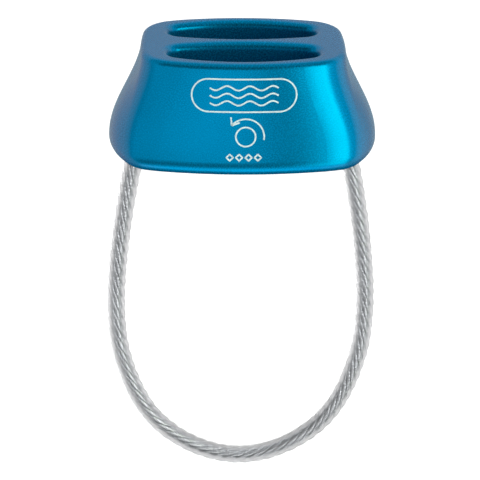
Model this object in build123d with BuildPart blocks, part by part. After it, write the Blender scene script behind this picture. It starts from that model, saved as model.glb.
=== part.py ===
from build123d import *

import os
from math import atan2, cos, dist, hypot, pi, radians, sin, tan

# A tube-style belay device: a flared aluminium body with two rope slots and a sheathed wire keeper loop.
# Millimetres. +Z is up along the rope slots, X runs along the slots and the front faces -Y. The origin is
# the centre of the flat base face, which bears on the carabiner. The keeper loop hangs below it.

# Body outline, at the base and at the top
BODY_HEIGHT = 26.5
BASE_HALF_WIDTH, TOP_HALF_WIDTH = 30.9, 23.2
BASE_HALF_DEPTH, TOP_HALF_DEPTH = 19.5, 17.1
FLARE_START, FLARE_END = 3.9, 26.8
BASE_EASE, BASE_EASE_HEIGHT = 0.35, 7.0
TOP_EASE, TOP_EASE_HEIGHT = 0.3, 5.5
SECTION_COUNT = 8

# Bends of a quarter of the outline, by how far the normal has turned from the front, in degrees: a bowed
# front, a shoulder, a corner whose end follows the flare, and a bowed side. The front and side radii fill
# the width and depth left.
FRONT_TURN, SHOULDER_TURN = 11, 18
BASE_CORNER_TURN, TOP_CORNER_TURN = 56, 86
SHOULDER_RADIUS = 33.0
BASE_CORNER, TOP_CORNER = 8.0, 8.5

# Rope slots
WEB = 3.8
BASE_WALL, TOP_WALL = 6.2, 3.6
BASE_SLOT_HALF_LENGTH, TOP_SLOT_HALF_LENGTH = 18.2, 16.6
SLOT_END_BOW = 0.6
WEB_SIDE_BOW, WALL_SIDE_BOW = 2.1, 3.2
SLOT_CORNER = 3.2
TOP_EDGE_RADIUS, BASE_EDGE_RADIUS = 1.4, 3.9
TOP_LIP_RADIUS, BASE_LIP_RADIUS = 1.7, 1.4

# Keeper loop: the right half of its route from the exit towards the bottom, as (x, z)
ROPE_DIAMETER = 1.8
SHEATH_DIAMETER = 4.4
LOOP_HALF = [
    (24.7, 0.0),
    (27.3, -13.0),
    (29.3, -27.0),
    (30.4, -40.9),
    (29.4, -55.0),
    (23.4, -71.0),
    (12.7, -80.4),
]
LOOP_BOTTOM = -84.1
ARC_SHARE = 0.45

# Bores and crimp sleeves, as depths along the bore from the base face
SLIP = 0.02
SLEEVE_DIAMETER = 4.8
BORE_DEPTH = 12.0
MOUTH_RADIUS, MOUTH_DEPTH = 2.8, 0.8
ROPE_END_START = 1.3
SLEEVE_START = 2.2

LOOP_ROUTE = LOOP_HALF + [(0.0, LOOP_BOTTOM)] + [(-x, z) for x, z in reversed(LOOP_HALF)]

os.makedirs("parts", exist_ok=True)


def finish_piece(piece, name):
    """Labels a finished piece and writes its STEP file."""
    piece.part.label = name
    export_step(piece.part, f"parts/{name}.step")


def between(base, top, height):
    """A dimension that changes evenly from the base to the top."""
    return base + (top - base) * height / BODY_HEIGHT


def flared(base, top, height):
    """A dimension that follows the end profile: steady at the base, then an S-shaped change to the top."""
    along = min(max((height - FLARE_START) / (FLARE_END - FLARE_START), 0.0), 1.0)
    return top + (base - top) * (1 + cos(pi * along)) / 2


def bowed_outline(half_x, near_y, far_y, bow_x, bow_near, bow_far, corner):
    """A rectangle from near_y to far_y whose four sides bulge and whose corners are round."""
    corner_x = half_x - bow_x
    near_corner = near_y + bow_near
    far_corner = far_y - bow_far
    middle = (near_corner + far_corner) / 2
    with BuildSketch() as outline:
        with BuildLine():
            ThreePointArc((-corner_x, near_corner), (0, near_y), (corner_x, near_corner))
            ThreePointArc((corner_x, near_corner), (half_x, middle), (corner_x, far_corner))
            ThreePointArc((corner_x, far_corner), (0, far_y), (-corner_x, far_corner))
            ThreePointArc((-corner_x, far_corner), (-half_x, middle), (-corner_x, near_corner))
        make_face()
        fillet(outline.vertices(), corner)
    return outline.sketch


def half_depth(height):
    """The front profile: nearly straight, eased inwards towards the base and the top."""
    base_ease = max(1 - height / BASE_EASE_HEIGHT, 0.0)
    top_ease = max(1 - (BODY_HEIGHT - height) / TOP_EASE_HEIGHT, 0.0)
    straight = between(BASE_HALF_DEPTH, TOP_HALF_DEPTH, height)
    return straight - BASE_EASE * base_ease**2 - TOP_EASE * top_ease**2


def outline_bends(height):
    """The bends of one quarter of the outline, front to side, as (radius, first turn, last turn)."""
    corner_turn = flared(BASE_CORNER_TURN, TOP_CORNER_TURN, height)
    turns = [radians(turn) for turn in (0, FRONT_TURN, SHOULDER_TURN, corner_turn, 90)]
    widths = [sin(last) - sin(first) for first, last in zip(turns, turns[1:])]
    depths = [cos(first) - cos(last) for first, last in zip(turns, turns[1:])]
    corner = between(BASE_CORNER, TOP_CORNER, height)
    half_width = flared(BASE_HALF_WIDTH, TOP_HALF_WIDTH, height)
    width_left = half_width - SHOULDER_RADIUS * widths[1] - corner * widths[2]
    depth_left = half_depth(height) - SHOULDER_RADIUS * depths[1] - corner * depths[2]
    scale = widths[0] * depths[3] - widths[3] * depths[0]
    front = (width_left * depths[3] - depth_left * widths[3]) / scale
    side = (depth_left * widths[0] - width_left * depths[0]) / scale
    return list(zip((front, SHOULDER_RADIUS, corner, side), turns, turns[1:]))


def body_outline(height):
    """The outside of the body at one height."""
    quarter = [(0.0, -half_depth(height))]
    for radius, first, last in outline_bends(height):
        x, y = quarter[-1]
        for turn in ((first + last) / 2, last):
            quarter.append((x + radius * (sin(turn) - sin(first)), y + radius * (cos(first) - cos(turn))))
    front, front_end, side_start, side = quarter[0], quarter[2], quarter[6], quarter[8]
    with BuildSketch() as outline:
        with BuildLine():
            for flip_x, flip_y in ((1, 1), (-1, 1), (1, -1), (-1, -1)):
                around = [(x * flip_x, y * flip_y) for x, y in quarter]
                ThreePointArc(*around[2:5])
                ThreePointArc(*around[4:7])
            for flip in (1, -1):
                (x, y), (side_x, side_y) = front_end, side_start
                ThreePointArc((-x, y * flip), (0, front[1] * flip), (x, y * flip))
                ThreePointArc((side_x * flip, side_y), (side[0] * flip, 0), (side_x * flip, -side_y))
        make_face()
    return outline.sketch


def slot_outline(height, side):
    """The inside of one rope slot at one height: side is -1 for the front slot and 1 for the back one."""
    wall_y = between(BASE_HALF_DEPTH - BASE_WALL, TOP_HALF_DEPTH - TOP_WALL, height)
    half_length = between(BASE_SLOT_HALF_LENGTH, TOP_SLOT_HALF_LENGTH, height)
    near_y, far_y = sorted((side * WEB / 2, side * wall_y))
    near_bow, far_bow = (WALL_SIDE_BOW, WEB_SIDE_BOW)[::-side]
    return bowed_outline(half_length, near_y, far_y, SLOT_END_BOW, near_bow, far_bow, SLOT_CORNER)


def exit_plane(side, depth=0.0):
    """A plane across one bore, facing out of its mouth and so far inside the body."""
    (exit_x, exit_z), (next_x, next_z) = LOOP_HALF[:2]
    run = hypot(next_x - exit_x, next_z - exit_z)
    way_x, way_z = side * (next_x - exit_x) / run, (next_z - exit_z) / run
    middle = (side * exit_x - way_x * depth, 0, exit_z - way_z * depth)
    return Plane(origin=middle, x_dir=(0, 1, 0), z_dir=(way_x, 0, way_z))


def route_radii():
    """One bend radius for each inner point of the loop's route."""
    radii = []
    for before, here, after in zip(LOOP_ROUTE, LOOP_ROUTE[1:], LOOP_ROUTE[2:]):
        way_in = atan2(here[1] - before[1], here[0] - before[0])
        way_out = atan2(after[1] - here[1], after[0] - here[0])
        turn = abs((way_out - way_in + pi) % (2 * pi) - pi)
        radii.append(ARC_SHARE * min(dist(before, here), dist(here, after)) / tan(turn / 2))
    return radii


with BuildPart() as belay_body:
    for section in range(SECTION_COUNT):
        height = BODY_HEIGHT * section / (SECTION_COUNT - 1)
        with BuildSketch(Plane.XY.offset(height)):
            add(body_outline(height))
    loft()
    for side in (-1, 1):
        for height in (0.0, BODY_HEIGHT):
            with BuildSketch(Plane.XY.offset(height)):
                add(slot_outline(height, side))
        loft(mode=Mode.SUBTRACT)
    for end, lip, edge in ((-1, TOP_LIP_RADIUS, TOP_EDGE_RADIUS), (0, BASE_LIP_RADIUS, BASE_EDGE_RADIUS)):
        end_face = belay_body.faces().sort_by(Axis.Z)[end]
        fillet([bend for wire in end_face.inner_wires() for bend in wire.edges()], lip)
        end_face = belay_body.faces().sort_by(Axis.Z)[end]
        fillet(end_face.outer_wire().edges(), edge)
    for side in (-1, 1):
        with BuildSketch(exit_plane(side, BORE_DEPTH)):
            Circle(SLEEVE_DIAMETER / 2 + SLIP)
        extrude(amount=BORE_DEPTH + 3, mode=Mode.SUBTRACT)
        mouth_slope = (MOUTH_RADIUS - SLEEVE_DIAMETER / 2) / MOUTH_DEPTH
        with BuildSketch(exit_plane(side, MOUTH_DEPTH)):
            Circle(SLEEVE_DIAMETER / 2)
        with BuildSketch(exit_plane(side, -MOUTH_DEPTH)):
            Circle(SLEEVE_DIAMETER / 2 + 2 * MOUTH_DEPTH * mouth_slope)
        loft(mode=Mode.SUBTRACT)
finish_piece(belay_body, "belay_body")


def loop_tube(outside, inside, name):
    """One plain tube, or a rod when inside is 0, along the whole loop."""
    radii = route_radii()
    with BuildPart() as tube:
        with BuildLine() as route:
            FilletPolyline(*[(x, 0, z) for x, z in LOOP_ROUTE], radius=radii)
        with BuildSketch(exit_plane(1)):
            Circle(outside / 2)
            if inside:
                Circle(inside / 2, mode=Mode.SUBTRACT)
        sweep(path=route.wire())
    print(name, "length", route.wire().length, "radii", [round(radius, 1) for radius in radii])
    section = pi / 4 * (outside**2 - inside**2)
    print(name, "volume", tube.part.volume, "section x length", section * route.wire().length)
    finish_piece(tube, name)


loop_tube(ROPE_DIAMETER, 0, "wire_rope")
loop_tube(SHEATH_DIAMETER, ROPE_DIAMETER + 2 * SLIP, "clear_sheath")

for side, name in ((-1, "left"), (1, "right")):
    with BuildPart() as rope_end:
        with BuildSketch(exit_plane(side, BORE_DEPTH)):
            Circle(ROPE_DIAMETER / 2)
        extrude(amount=BORE_DEPTH - ROPE_END_START)
    finish_piece(rope_end, f"rope_end_{name}")

    with BuildPart() as crimp_sleeve:
        with BuildSketch(exit_plane(side, BORE_DEPTH)):
            Circle(SLEEVE_DIAMETER / 2)
            Circle(ROPE_DIAMETER / 2 + SLIP, mode=Mode.SUBTRACT)
        extrude(amount=BORE_DEPTH - SLEEVE_START)
    finish_piece(crimp_sleeve, f"crimp_sleeve_{name}")

print(belay_body.part.volume, belay_body.part.bounding_box(), belay_body.part.is_valid)
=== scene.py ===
"""A tube-style belay device: blue anodised body, clear-sheathed wire keeper loop.

Metres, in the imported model's frame: the origin is the centre of the flat base face, +Z runs up the rope
slots, X runs along them and the marked front face looks towards -Y. The keeper loop hangs below.
"""

import math

import bpy
import numpy as np
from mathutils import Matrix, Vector, noise
from mathutils.bvhtree import BVHTree


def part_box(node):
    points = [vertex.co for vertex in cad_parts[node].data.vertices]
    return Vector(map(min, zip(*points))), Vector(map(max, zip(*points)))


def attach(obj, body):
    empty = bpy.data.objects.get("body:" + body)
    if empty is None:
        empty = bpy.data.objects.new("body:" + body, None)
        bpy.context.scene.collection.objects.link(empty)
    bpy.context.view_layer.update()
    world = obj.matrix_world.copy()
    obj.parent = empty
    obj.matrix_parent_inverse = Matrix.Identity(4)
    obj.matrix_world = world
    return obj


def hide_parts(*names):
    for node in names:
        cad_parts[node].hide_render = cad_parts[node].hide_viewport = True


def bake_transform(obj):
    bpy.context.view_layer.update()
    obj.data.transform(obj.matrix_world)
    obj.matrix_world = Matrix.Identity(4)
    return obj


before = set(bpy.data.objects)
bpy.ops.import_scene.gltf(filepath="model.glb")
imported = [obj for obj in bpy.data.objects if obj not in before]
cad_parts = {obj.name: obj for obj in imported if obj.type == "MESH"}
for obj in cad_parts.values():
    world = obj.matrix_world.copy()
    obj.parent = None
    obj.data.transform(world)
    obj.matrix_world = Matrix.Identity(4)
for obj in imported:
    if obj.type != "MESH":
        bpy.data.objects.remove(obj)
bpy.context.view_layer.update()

MM = 0.001
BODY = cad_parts["belay_body"]

# The keeper loop's own line, repeated from the CAD route: the right half as (x, z) in millimetres
LOOP_HALF = [
    (24.7, 0.0),
    (27.3, -13.0),
    (29.3, -27.0),
    (30.4, -40.9),
    (29.4, -55.0),
    (23.4, -71.0),
    (12.7, -80.4),
]
LOOP_BOTTOM = -84.1
# Steps along the curve for each of these points
LINE_STEPS = 34
# How far the rope and its sheath go up into the body
CRIMP_DEPTH = 11.6 * MM
SHEATH_DEPTH = 1.9 * MM

# The wire rope: six strands laid left-handed round a core strand, each with the lobes of its outer wires
ROPE_RADIUS = 0.9 * MM
ROPE_LAY = 17.5 * MM
STRAND_COUNT = 6
STRAND_RADIUS = ROPE_RADIUS / 3
STRAND_ORBIT = ROPE_RADIUS - STRAND_RADIUS
WIRE_COUNT = 6
WIRE_LAY = 7 * MM
WIRE_RELIEF = 0.04
STRAND_SIDES = 4 * WIRE_COUNT

# The sheath's greatest radius, and as parts of it the mean radius, the relief over the strands and the swell
SHEATH_RADIUS = 2.2 * MM
SHEATH_MEAN, SHEATH_RELIEF, SHEATH_SWELL = 0.945, 0.05, 0.03
SWELLS_PER_METRE = 260
SHEATH_SIDES = 36

# The marks' ribbons: their width, and how far they stand out of the front and reach into it
MARK_WIDTH, MARK_PROUD, MARK_SUNK = 0.36 * MM, 0.025 * MM, 0.06 * MM
# Generic line marks on the front, in millimetres and degrees: heights are up from the base
BADGE_HEIGHT, BADGE_HALF_LENGTH, BADGE_RADIUS = 19.6, 11.6, 3.7
WAVE_GAP, WAVE_HALF_LENGTH, WAVE_HEIGHT, WAVE_COUNT = 1.7, 7.6, 0.5, 3
ARROW_X, ARROW_HEIGHT, ARROW_RADIUS, RING_RADIUS = 0.4, 10.2, 4.1, 2.2
ARROW_TAIL, ARROW_TIP = -10, 140
BARB, BARB_TURNS = 1.9, (20, 95)
DIAMOND_HEIGHT, DIAMOND, DIAMOND_GAP, DIAMOND_COUNT = 5.4, 0.75, 2.1, 4
ARC_POINTS, LINE_POINTS, WAVE_POINTS = 49, 25, 97
# Marks are cast onto the front from a plane this far in front of the middle of the body
CAST_FROM = 0.1

# The body's painted sheen: its clear coat's weight, painted by the angle of view from faces seen square on,
# at 0, to faces seen edge on, at 1
PAINTED_SHEEN_BY_ANGLE = [(0.29, 0.0), (0.38, 0.36), (0.58, 0.55), (0.8, 0.7), (1.0, 0.35)]
# Faces that look down have none of the painted sheen: it comes in between these upward parts of a face's
# normal
DOWN_TO_UPRIGHT = (-0.6, -0.1)
# Upright faces near the middle of the body, such as the slots' walls, have none of the painted sheen either:
# it comes in between these upward parts, or between these distances from the middle
UPRIGHT_TO_UP = (0.2, 0.6)
MIDDLE_TO_ENDS = (16 * MM, 22 * MM)

# Camera, with its lens and sensor in millimetres
VIEW_ELEVATION = math.radians(25)
VIEW_AZIMUTH = math.radians(-1.2)
VIEW_ROLL = 0.0088
VIEW_DISTANCE = 0.45
VIEW_CENTRE = Vector((-0.00029, 0, -0.0237))
LENS, SENSOR = 141.4, 36

# Studio: one soft light in watts, and a floor below the hanging loop
LIGHT_PLACE, LIGHT_SIZE, LIGHT_POWER = (0, 0.5, 1.2), 1.5, 14
FLOOR_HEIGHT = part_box("clear_sheath")[0].z - 30 * MM
FLOOR_HALF = 3.0

# What the metal reflects of the room: soft panels and darker places in white surroundings. Each has the
# azimuth of its centre from the front towards +X, its elevation, its half width, half height and softness,
# all in degrees, and then the radiance that it adds
SURROUNDINGS = {
    "right_strip": (41.7, -12, 15.5, 42, 6, 4.9),
    "right_gap": (20, -9, 11, 18, 7, -0.95),
    "right_side": (95, 0, 30, 40, 10, 0.45),
    "front_light": (0, -6, 75, 15, 5, 0.48),
    "front_glow": (-6, -7, 9, 12, 12, 0.95),
    "dark_room": (0, 29, 60, 20, 6, -0.9),
    "dim_back": (160, -35, 50, 60, 20, -0.25),
    "under_back": (180, -68, 65, 18, 12, -0.36),
    "dark_ceiling": (0, 62, 110, 26, 16, -0.35),
    "dark_table": (0, -38, 60, 14, 11, -0.8),
    "bright_table": (0, -90, 80, 29, 12, 2.6),
}
# The brightest panel has a tint of its own: the radiances between which it comes in, and the tint
TINT_FROM, TINT_TO = 3.7, 5.0
PANEL_TINT = (1.0, 1.2, 0.86, 1.0)


# ---------------------------------------------------------------- node helpers
class Graph:
    """A node tree, with short ways to add nodes that give back their output."""

    def __init__(self, tree):
        self.tree = tree

    def add(self, kind, **settings):
        node = self.tree.nodes.new(kind)
        for key, value in settings.items():
            setattr(node, key, value)
        return node

    def feed(self, socket, value):
        """Join another node's output to this input, or give the input a constant."""
        if isinstance(value, bpy.types.NodeSocket):
            self.tree.links.new(value, socket)
        else:
            socket.default_value = value

    def math(self, operation, *values):
        node = self.add("ShaderNodeMath", operation=operation)
        for socket, value in zip(node.inputs, values):
            self.feed(socket, value)
        return node.outputs["Value"]

    def parts(self, vector):
        """The X, Y and Z of a vector."""
        node = self.add("ShaderNodeSeparateXYZ")
        self.feed(node.inputs["Vector"], vector)
        return node.outputs["X"], node.outputs["Y"], node.outputs["Z"]

    def remap(self, value, start, end, low=0.0, high=1.0, interpolation="LINEAR"):
        """Low at the start, high at the end, and level beyond both."""
        node = self.add("ShaderNodeMapRange", interpolation_type=interpolation)
        self.feed(node.inputs["Value"], value)
        node.inputs["From Min"].default_value = start
        node.inputs["From Max"].default_value = end
        node.inputs["To Min"].default_value = low
        node.inputs["To Max"].default_value = high
        return node.outputs["Result"]

    def ramp(self, value, stops):
        """A colour from (position, colour) stops."""
        node = self.add("ShaderNodeValToRGB")
        elements = node.color_ramp.elements
        while len(elements) < len(stops):
            elements.new(0.5)
        for element, (position, colour) in zip(elements, stops):
            element.position = position
            element.color = (*colour, 1.0)
        self.feed(node.inputs["Fac"], value)
        return node.outputs["Color"]


class Paint(Graph):
    """A new material: constants for its shader, then textures in the object's own space."""

    def __init__(self, name, **constants):
        self.material = bpy.data.materials.new(name)
        self.material.use_nodes = True
        super().__init__(self.material.node_tree)
        self.shader = self.tree.nodes["Principled BSDF"]
        self.space = self.add("ShaderNodeTexCoord").outputs["Object"]
        for socket_name, value in constants.items():
            self.shader.inputs[socket_name.replace("_", " ")].default_value = value

    def noise(self, scale, detail=3.0):
        """A noise from 0 to 1, with this many spots to a metre."""
        node = self.add("ShaderNodeTexNoise")
        self.feed(node.inputs["Vector"], self.space)
        node.inputs["Scale"].default_value = scale
        node.inputs["Detail"].default_value = detail
        return node.outputs["Fac"]

    def colour(self, cloud, dark, light):
        """A base colour that drifts between two tones."""
        self.feed(self.shader.inputs["Base Color"], self.ramp(cloud, [(0.3, dark), (0.7, light)]))

    def roughness(self, cloud, low, high):
        self.feed(self.shader.inputs["Roughness"], self.remap(cloud, 0.0, 1.0, low, high))

    def bump(self, height, strength, distance):
        node = self.add("ShaderNodeBump")
        self.feed(node.inputs["Height"], height)
        node.inputs["Strength"].default_value = strength
        node.inputs["Distance"].default_value = distance
        self.feed(self.shader.inputs["Normal"], node.outputs["Normal"])


def grey(level):
    return level, level, level


# ---------------------------------------------------------------- materials
def anodised_blue():
    """Satin blue anodised aluminium, with a painted pale sheen at grazing angles outside the slots: a clear
    coat whose reflection is real, with its weight painted by angle.
    """
    blue = Paint(
        "anodised_blue",
        Metallic=0.6,
        Specular_IOR_Level=0.0,
        Specular_Tint=(0.0, 0.2, 0.24, 1.0),
        Coat_Roughness=0.25,
        Coat_IOR=1.5,
    )
    blue.colour(blue.noise(90, detail=4.0), dark=(0.0, 0.149, 0.305), light=(0.0, 0.159, 0.325))
    blue.roughness(blue.noise(2600, detail=2.0), 0.22, 0.32)
    blue.bump(blue.noise(5200, detail=2.0), strength=0.28, distance=0.02 * MM)
    # The coat's weight paints a pale sheen by the angle of view and keeps it off downward faces and the
    # slots' walls; the coat's reflection itself is real
    blue.feed(blue.shader.inputs["Coat Weight"], painted_sheen_weight(blue))
    return blue.material


def painted_sheen_weight(paint):
    """The clear coat's weight, a painted sheen: by the angle of view, with none underneath or on the slots'
    walls.
    """
    view = paint.add("ShaderNodeLayerWeight")
    view.inputs["Blend"].default_value = 0.5
    by_angle = paint.ramp(view.outputs["Facing"], [(place, grey(weight)) for place, weight in PAINTED_SHEEN_BY_ANGLE])
    along_body, _, _ = paint.parts(paint.space)
    _, _, upward = paint.parts(paint.add("ShaderNodeNewGeometry").outputs["True Normal"])
    not_underneath = paint.remap(upward, *DOWN_TO_UPRIGHT)
    on_top = paint.remap(upward, *UPRIGHT_TO_UP)
    on_ends = paint.remap(paint.math("ABSOLUTE", along_body), *MIDDLE_TO_ENDS)
    outside_slots = paint.math("MAXIMUM", on_top, on_ends)
    return paint.math("MULTIPLY", by_angle, paint.math("MULTIPLY", not_underneath, outside_slots))


def bright_wire():
    """Galvanised steel wire with a faint grain."""
    steel = Paint("bright_wire", Metallic=1.0)
    cloud = steel.noise(700)
    steel.colour(cloud, dark=(0.365, 0.377, 0.386), light=(0.49, 0.505, 0.516))
    steel.roughness(cloud, 0.26, 0.4)
    steel.bump(steel.noise(4000, detail=2.0), strength=0.15, distance=0.02 * MM)
    return steel.material


def clear_plastic():
    """Clear flexible plastic extruded over the rope, slightly hazy."""
    clear = Paint("clear_plastic", Transmission_Weight=1.0, IOR=1.46)
    cloud = clear.noise(500)
    clear.colour(cloud, dark=(0.80, 0.803, 0.812), light=(0.85, 0.853, 0.862))
    clear.roughness(cloud, 0.28, 0.42)
    clear.bump(clear.noise(900, detail=2.0), strength=0.2, distance=0.08 * MM)
    return clear.material


def crimp_metal():
    """Dull aluminium of the hidden crimp sleeves."""
    metal = Paint("crimp_metal", Metallic=1.0)
    cloud = metal.noise(900)
    metal.colour(cloud, dark=(0.55, 0.56, 0.57), light=(0.72, 0.72, 0.73))
    metal.roughness(cloud, 0.35, 0.55)
    metal.bump(cloud, strength=0.2, distance=0.03 * MM)
    return metal.material


def etched_white():
    """Laser-etched marks: pale, dry and slightly uneven."""
    etch = Paint("etched_white")
    cloud = etch.noise(1500)
    etch.colour(cloud, dark=(0.50, 0.60, 0.66), light=(0.68, 0.76, 0.80))
    etch.roughness(cloud, 0.55, 0.8)
    etch.bump(cloud, strength=0.2, distance=0.01 * MM)
    return etch.material


def paper_white():
    """The studio floor: white paper from above, clear from underneath."""
    paper = Paint("paper_white", Roughness=0.9)
    paper.colour(paper.noise(3), dark=grey(0.90), light=grey(0.93))
    clear = paper.add("ShaderNodeBsdfTransparent")
    either = paper.add("ShaderNodeMixShader")
    facing, from_above, from_underneath = either.inputs
    paper.feed(facing, paper.add("ShaderNodeNewGeometry").outputs["Backfacing"])
    paper.feed(from_above, paper.shader.outputs["BSDF"])
    paper.feed(from_underneath, clear.outputs["BSDF"])
    paper.feed(paper.tree.nodes["Material Output"].inputs["Surface"], either.outputs["Shader"])
    return paper.material


# ---------------------------------------------------------------- mesh helpers
def mesh_object(name, vertices, faces, material, smooth=True):
    """A visible piece in the scene, with its material."""
    mesh = bpy.data.meshes.new(name)
    mesh.from_pydata([tuple(v) for v in vertices], [], [tuple(f) for f in faces])
    mesh.update()
    mesh.polygons.foreach_set("use_smooth", [smooth] * len(mesh.polygons))
    mesh.materials.append(material)
    piece = bpy.data.objects.new(name, mesh)
    bpy.context.scene.collection.objects.link(piece)
    return piece


def ring_tube(rings, start=0):
    """Vertices and faces of a capped tube over rings of equal count, numbered from start."""
    count, around = len(rings), len(rings[0])
    vertices = np.concatenate(rings)
    faces = []
    for i in range(count - 1):
        for j in range(around):
            k = (j + 1) % around
            here, after = start + i * around, start + (i + 1) * around
            faces.append([here + j, here + k, after + k, after + j])
    faces.append([start + j for j in reversed(range(around))])
    faces.append([start + (count - 1) * around + j for j in range(around)])
    return vertices, faces


def unit(vectors):
    return vectors / np.linalg.norm(vectors, axis=-1, keepdims=True)


# ---------------------------------------------------------------- the keeper's line
def spline_line(name, control):
    """Points along one smooth NURBS curve with these control points."""
    data = bpy.data.curves.new(name, "CURVE")
    data.dimensions = "3D"
    data.resolution_u = LINE_STEPS
    spline = data.splines.new("NURBS")
    spline.points.add(len(control) - 1)
    for point, place in zip(spline.points, control):
        point.co = (*place, 1.0)
    spline.order_u = 3
    spline.use_endpoint_u = True
    curve = bpy.data.objects.new(name, data)
    bpy.context.scene.collection.objects.link(curve)
    bpy.context.view_layer.update()
    mesh = bpy.data.meshes.new_from_object(curve)
    points = np.array([v.co for v in mesh.vertices])
    bpy.data.objects.remove(curve)
    bpy.data.meshes.remove(mesh)
    return points


def keeper_control(depth):
    """The loop's control points, with each end carried straight up its bore by this depth."""
    half = [Vector((x, 0, z)) * MM for x, z in LOOP_HALF]
    into_bore = (half[0] - half[1]).normalized() * depth
    right = [half[0] + into_bore] + half
    left = [Vector((-p.x, 0, p.z)) for p in reversed(right)]
    return right + [Vector((0, 0, LOOP_BOTTOM * MM))] + left


def along(line):
    """Distance along a line at each of its points."""
    steps = np.linalg.norm(np.diff(line, axis=0), axis=1)
    return np.concatenate([[0.0], np.cumsum(steps)])


def side_frames(line):
    """Two unit vectors square to a line in the XZ plane, at each of its points: one in the plane, and +Y."""
    tangent = unit(np.gradient(line, axis=0))
    across = np.tile([0.0, 1.0, 0.0], (len(line), 1))
    in_plane = unit(np.cross(tangent, across))
    return in_plane, across


def lobed_strand(line, distance, orbit, radius, phase):
    """Rings of one strand: its outer wires make a lobed section that twists the same way as the rope."""
    in_plane, across = side_frames(line)
    turn = phase + 2 * np.pi * distance / ROPE_LAY
    outward = in_plane * np.cos(turn)[:, None] + across * np.sin(turn)[:, None]
    centres = line + outward * orbit
    tangent = unit(np.gradient(centres, axis=0))
    side = unit(np.cross(tangent, outward))
    front = np.cross(side, tangent)
    angles = np.linspace(0, 2 * np.pi, STRAND_SIDES, endpoint=False)
    lobes = radius * (1 - WIRE_RELIEF + WIRE_RELIEF * np.cos(WIRE_COUNT * angles))
    rings = []
    for centre, a, b, place in zip(centres, front, side, distance):
        spin = angles - 2 * np.pi * place / WIRE_LAY
        rings.append(centre + np.outer(lobes * np.cos(spin), a) + np.outer(lobes * np.sin(spin), b))
    return rings


def make_wire_rope(material):
    """Six strands and their core along the keeper's whole line, crimped ends included."""
    line = spline_line("rope_line", keeper_control(CRIMP_DEPTH))
    distance = along(line)
    vertices, faces = [], []
    strands = [(STRAND_ORBIT, 2 * np.pi * k / STRAND_COUNT) for k in range(STRAND_COUNT)] + [(0.0, 0.0)]
    for orbit, phase in strands:
        rings = lobed_strand(line, distance, orbit, STRAND_RADIUS, phase)
        more_vertices, more_faces = ring_tube(rings, start=sum(len(v) for v in vertices))
        vertices.append(more_vertices)
        faces += more_faces
    return mesh_object("keeper_wire_rope", np.concatenate(vertices), faces, material)


def make_sheath(material):
    """The clear sheath as one solid: its skin follows the strands faintly and is a little uneven."""
    line = spline_line("sheath_line", keeper_control(SHEATH_DEPTH))
    distance = along(line)
    in_plane, across = side_frames(line)
    angles = np.linspace(2 * np.pi, 0, SHEATH_SIDES, endpoint=False)
    rings = []
    for point, a, b, place in zip(line, in_plane, across, distance):
        lay = 2 * np.pi * (place + CRIMP_DEPTH - SHEATH_DEPTH) / ROPE_LAY
        relief = SHEATH_RELIEF * np.cos(STRAND_COUNT * (angles - lay))
        swell = SHEATH_SWELL * noise.noise(Vector((place * SWELLS_PER_METRE, 0, 0)))
        radius = SHEATH_RADIUS * np.minimum(SHEATH_MEAN + relief + swell, 1.0)
        rings.append(point + np.outer(radius * np.cos(angles), a) + np.outer(radius * np.sin(angles), b))
    vertices, faces = ring_tube(rings)
    sheath = mesh_object("keeper_clear_sheath", vertices, faces, material)
    return sheath, line, distance[-1]


# ---------------------------------------------------------------- front marks
def line_path(start, end):
    """Points along a straight line, close enough together to follow the curved front."""
    return [tuple(p) for p in np.linspace(start, end, LINE_POINTS)]


def circle_path(x, z, radius, first=0.0, last=360.0):
    """Points round part of a circle on the front, in degrees from +X towards +Z."""
    angles = np.radians(np.linspace(first, last, ARC_POINTS))
    return [(x + radius * np.cos(a), z + radius * np.sin(a)) for a in angles]


def capsule_path(z, half_length, radius):
    """A closed outline with straight long sides and round ends."""
    middle = half_length - radius
    right = circle_path(middle, z, radius, -90, 90)
    left = circle_path(-middle, z, radius, 90, 270)
    return line_path(left[-1], right[0]) + right[1:] + line_path(right[-1], left[0])[1:] + left[1:]


def wave_path(z, half_length, height, waves):
    """A level row of this many whole waves, centred on the front."""
    places = np.linspace(-half_length, half_length, WAVE_POINTS)
    return [(x, z + height * np.sin(np.pi * waves * x / half_length)) for x in places]


def diamond_path(x, z, half):
    """A closed square on its corner, half as wide as this."""
    corners = [(x + half, z), (x, z + half), (x - half, z), (x, z - half), (x + half, z)]
    sides = [line_path(start, end) for start, end in zip(corners, corners[1:])]
    return sides[0] + sides[1][1:] + sides[2][1:] + sides[3][1:]


def mark_paths():
    """A plain badge of waves, a curved arrow over a ring, and a row of diamonds: (x, z) in millimetres."""
    paths = [capsule_path(BADGE_HEIGHT, BADGE_HALF_LENGTH, BADGE_RADIUS)]
    for step in (-1, 0, 1):
        paths.append(wave_path(BADGE_HEIGHT + step * WAVE_GAP, WAVE_HALF_LENGTH, WAVE_HEIGHT, WAVE_COUNT))
    paths.append(circle_path(ARROW_X, ARROW_HEIGHT, RING_RADIUS))
    arrow = circle_path(ARROW_X, ARROW_HEIGHT, ARROW_RADIUS, ARROW_TAIL, ARROW_TIP)
    paths.append(arrow)
    tip_x, tip_z = arrow[-1]
    for turn in BARB_TURNS:
        barb = math.radians(turn)
        barb_end = (tip_x + math.cos(barb) * BARB, tip_z + math.sin(barb) * BARB)
        paths.append(line_path((tip_x, tip_z), barb_end))
    for step in range(DIAMOND_COUNT):
        paths.append(diamond_path((step - (DIAMOND_COUNT - 1) / 2) * DIAMOND_GAP, DIAMOND_HEIGHT, DIAMOND))
    return paths


def drape(surface, path):
    """Places and normals where an (x, z) path lands on the front of the body."""
    places, normals = [], []
    for x, z in path:
        start = Vector((x * MM, -CAST_FROM, z * MM))
        place, normal, _, _ = surface.ray_cast(start, Vector((0, 1, 0)))
        places.append(place)
        normals.append(normal)
    return np.array(places), np.array(normals)


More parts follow.
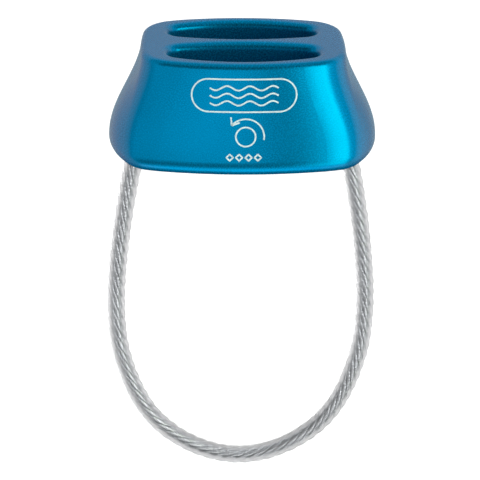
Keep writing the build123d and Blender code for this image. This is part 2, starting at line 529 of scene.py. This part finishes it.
def make_marks(material):
    """Thin raised ribbons along the marks, let a little into the front."""
    corners = [BODY.matrix_world @ vertex.co for vertex in BODY.data.vertices]
    surface = BVHTree.FromPolygons(corners, [polygon.vertices for polygon in BODY.data.polygons])
    vertices, faces = [], []
    for path in mark_paths():
        places, normals = drape(surface, path)
        closed = np.allclose(path[0], path[-1])
        if closed:
            places, normals = places[:-1], normals[:-1]
            way = np.roll(places, -1, axis=0) - np.roll(places, 1, axis=0)
        else:
            way = np.gradient(places, axis=0)
        side = unit(np.cross(unit(way), normals)) * MARK_WIDTH / 2
        low, high = places - normals * MARK_SUNK, places + normals * MARK_PROUD
        rings = np.stack([low - side, low + side, high + side, high - side], axis=1)
        start, count = sum(len(v) for v in vertices), len(rings)
        vertices.append(rings.reshape(-1, 3))
        for i in range(count if closed else count - 1):
            here, after = start + 4 * i, start + 4 * ((i + 1) % count)
            faces += [(here + j, here + (j + 1) % 4, after + (j + 1) % 4, after + j) for j in range(4)]
        if not closed:
            last = start + 4 * (count - 1)
            faces += [(start + 3, start + 2, start + 1, start), (last, last + 1, last + 2, last + 3)]
    vertices = np.concatenate(vertices)
    return mesh_object("front_marks", vertices, faces, material, smooth=False)


# ---------------------------------------------------------------- studio
def surroundings():
    """White surroundings with soft panels, seen only in reflections; the camera sees plain white."""
    world = bpy.data.worlds.new("studio")
    world.use_nodes = True
    bpy.context.scene.world = world
    sky = Graph(world.node_tree)

    def inside(angle, centre, half, softness):
        """One within half of the centre, fading to nothing over the softness on both sides of its edge."""
        offset = sky.math("WRAP", sky.math("SUBTRACT", angle, math.radians(centre)), math.pi, -math.pi)
        nothing, full = math.radians(half + softness), math.radians(max(half - softness, 0))
        return sky.remap(sky.math("ABSOLUTE", offset), nothing, full, interpolation="SMOOTHSTEP")

    x, y, z = sky.parts(sky.add("ShaderNodeTexCoord").outputs["Generated"])
    azimuth = sky.math("ARCTAN2", x, sky.math("MULTIPLY", y, -1.0))
    elevation = sky.math("ARCSINE", z)
    light = 1.0
    for across, height, half_width, half_height, softness, radiance in SURROUNDINGS.values():
        wide = inside(azimuth, across, half_width, softness)
        tall = inside(elevation, height, half_height, softness)
        light = sky.math("MULTIPLY_ADD", sky.math("MULTIPLY", wide, tall), radiance, light)

    ray = sky.add("ShaderNodeLightPath")
    radiance = sky.add("ShaderNodeMix")
    sky.feed(radiance.inputs["Factor"], ray.outputs["Is Camera Ray"])
    sky.feed(radiance.inputs["A"], light)
    sky.feed(radiance.inputs["B"], 1.0)

    brightest = sky.remap(radiance.outputs["Result"], TINT_FROM, TINT_TO)
    outside_glass = sky.math("LESS_THAN", ray.outputs["Transmission Depth"], 0.5)
    tint = sky.add("ShaderNodeMix", data_type="RGBA")
    white, tinted = [socket for socket in tint.inputs if socket.type == "RGBA"]
    sky.feed(tint.inputs["Factor"], sky.math("MULTIPLY", brightest, outside_glass))
    sky.feed(white, (1.0, 1.0, 1.0, 1.0))
    sky.feed(tinted, PANEL_TINT)

    background = sky.tree.nodes["Background"]
    colour = [socket for socket in tint.outputs if socket.type == "RGBA"][0]
    sky.feed(background.inputs["Color"], colour)
    sky.feed(background.inputs["Strength"], radiance.outputs["Result"])


def floor():
    """A pale floor that is clear from underneath and isn't seen in reflections or through the sheath."""
    corners = [(-1, -1), (1, -1), (1, 1), (-1, 1)]
    mesh = bpy.data.meshes.new("floor")
    mesh.from_pydata([(x * FLOOR_HALF, y * FLOOR_HALF, 0) for x, y in corners], [], [(0, 1, 2, 3)])
    mesh.materials.append(paper_white())
    plane = bpy.data.objects.new("floor", mesh)
    plane.location.z = FLOOR_HEIGHT
    plane.visible_glossy = False
    plane.visible_transmission = False
    bpy.context.scene.collection.objects.link(plane)


def soft_light():
    """A square area light above and behind the device, aimed at it."""
    data = bpy.data.lights.new("overhead", "AREA")
    data.size = LIGHT_SIZE
    data.energy = LIGHT_POWER
    light = bpy.data.objects.new("overhead", data)
    light.location = LIGHT_PLACE
    light.rotation_euler = (VIEW_CENTRE - Vector(LIGHT_PLACE)).to_track_quat("-Z", "Y").to_euler()
    light.visible_camera = False
    light.visible_glossy = False
    bpy.context.scene.collection.objects.link(light)


def camera():
    """The camera: a long lens that looks down on the device, turned and rolled a very little."""
    data = bpy.data.cameras.new("camera")
    data.lens = LENS
    data.sensor_width = SENSOR
    view = bpy.data.objects.new("camera", data)
    direction = Vector((
        math.sin(VIEW_AZIMUTH) * math.cos(VIEW_ELEVATION),
        -math.cos(VIEW_AZIMUTH) * math.cos(VIEW_ELEVATION),
        math.sin(VIEW_ELEVATION),
    ))
    view.location = VIEW_CENTRE + direction * VIEW_DISTANCE
    view.rotation_euler = direction.to_track_quat("Z", "Y").to_euler()
    view.rotation_euler.rotate_axis("Z", VIEW_ROLL)
    bpy.context.scene.collection.objects.link(view)
    bpy.context.scene.camera = view


# ---------------------------------------------------------------- assembly
def dress(node, material):
    """Give a CAD solid this material."""
    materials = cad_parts[node].data.materials
    materials.clear()
    materials.append(material)


dress("belay_body", anodised_blue())
crimp = crimp_metal()
for hand in ("left", "right"):
    dress("crimp_sleeve_" + hand, crimp)

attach(make_marks(etched_white()), "body")

rope = make_wire_rope(bright_wire())
sheath, sheath_path, sheath_length = make_sheath(clear_plastic())
for piece in (rope, sheath):
    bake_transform(piece)
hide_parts("wire_rope", "rope_end_left", "rope_end_right")
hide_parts("clear_sheath")

surroundings()
floor()
soft_light()
camera()
bpy.context.scene.view_settings.view_transform = "Standard"
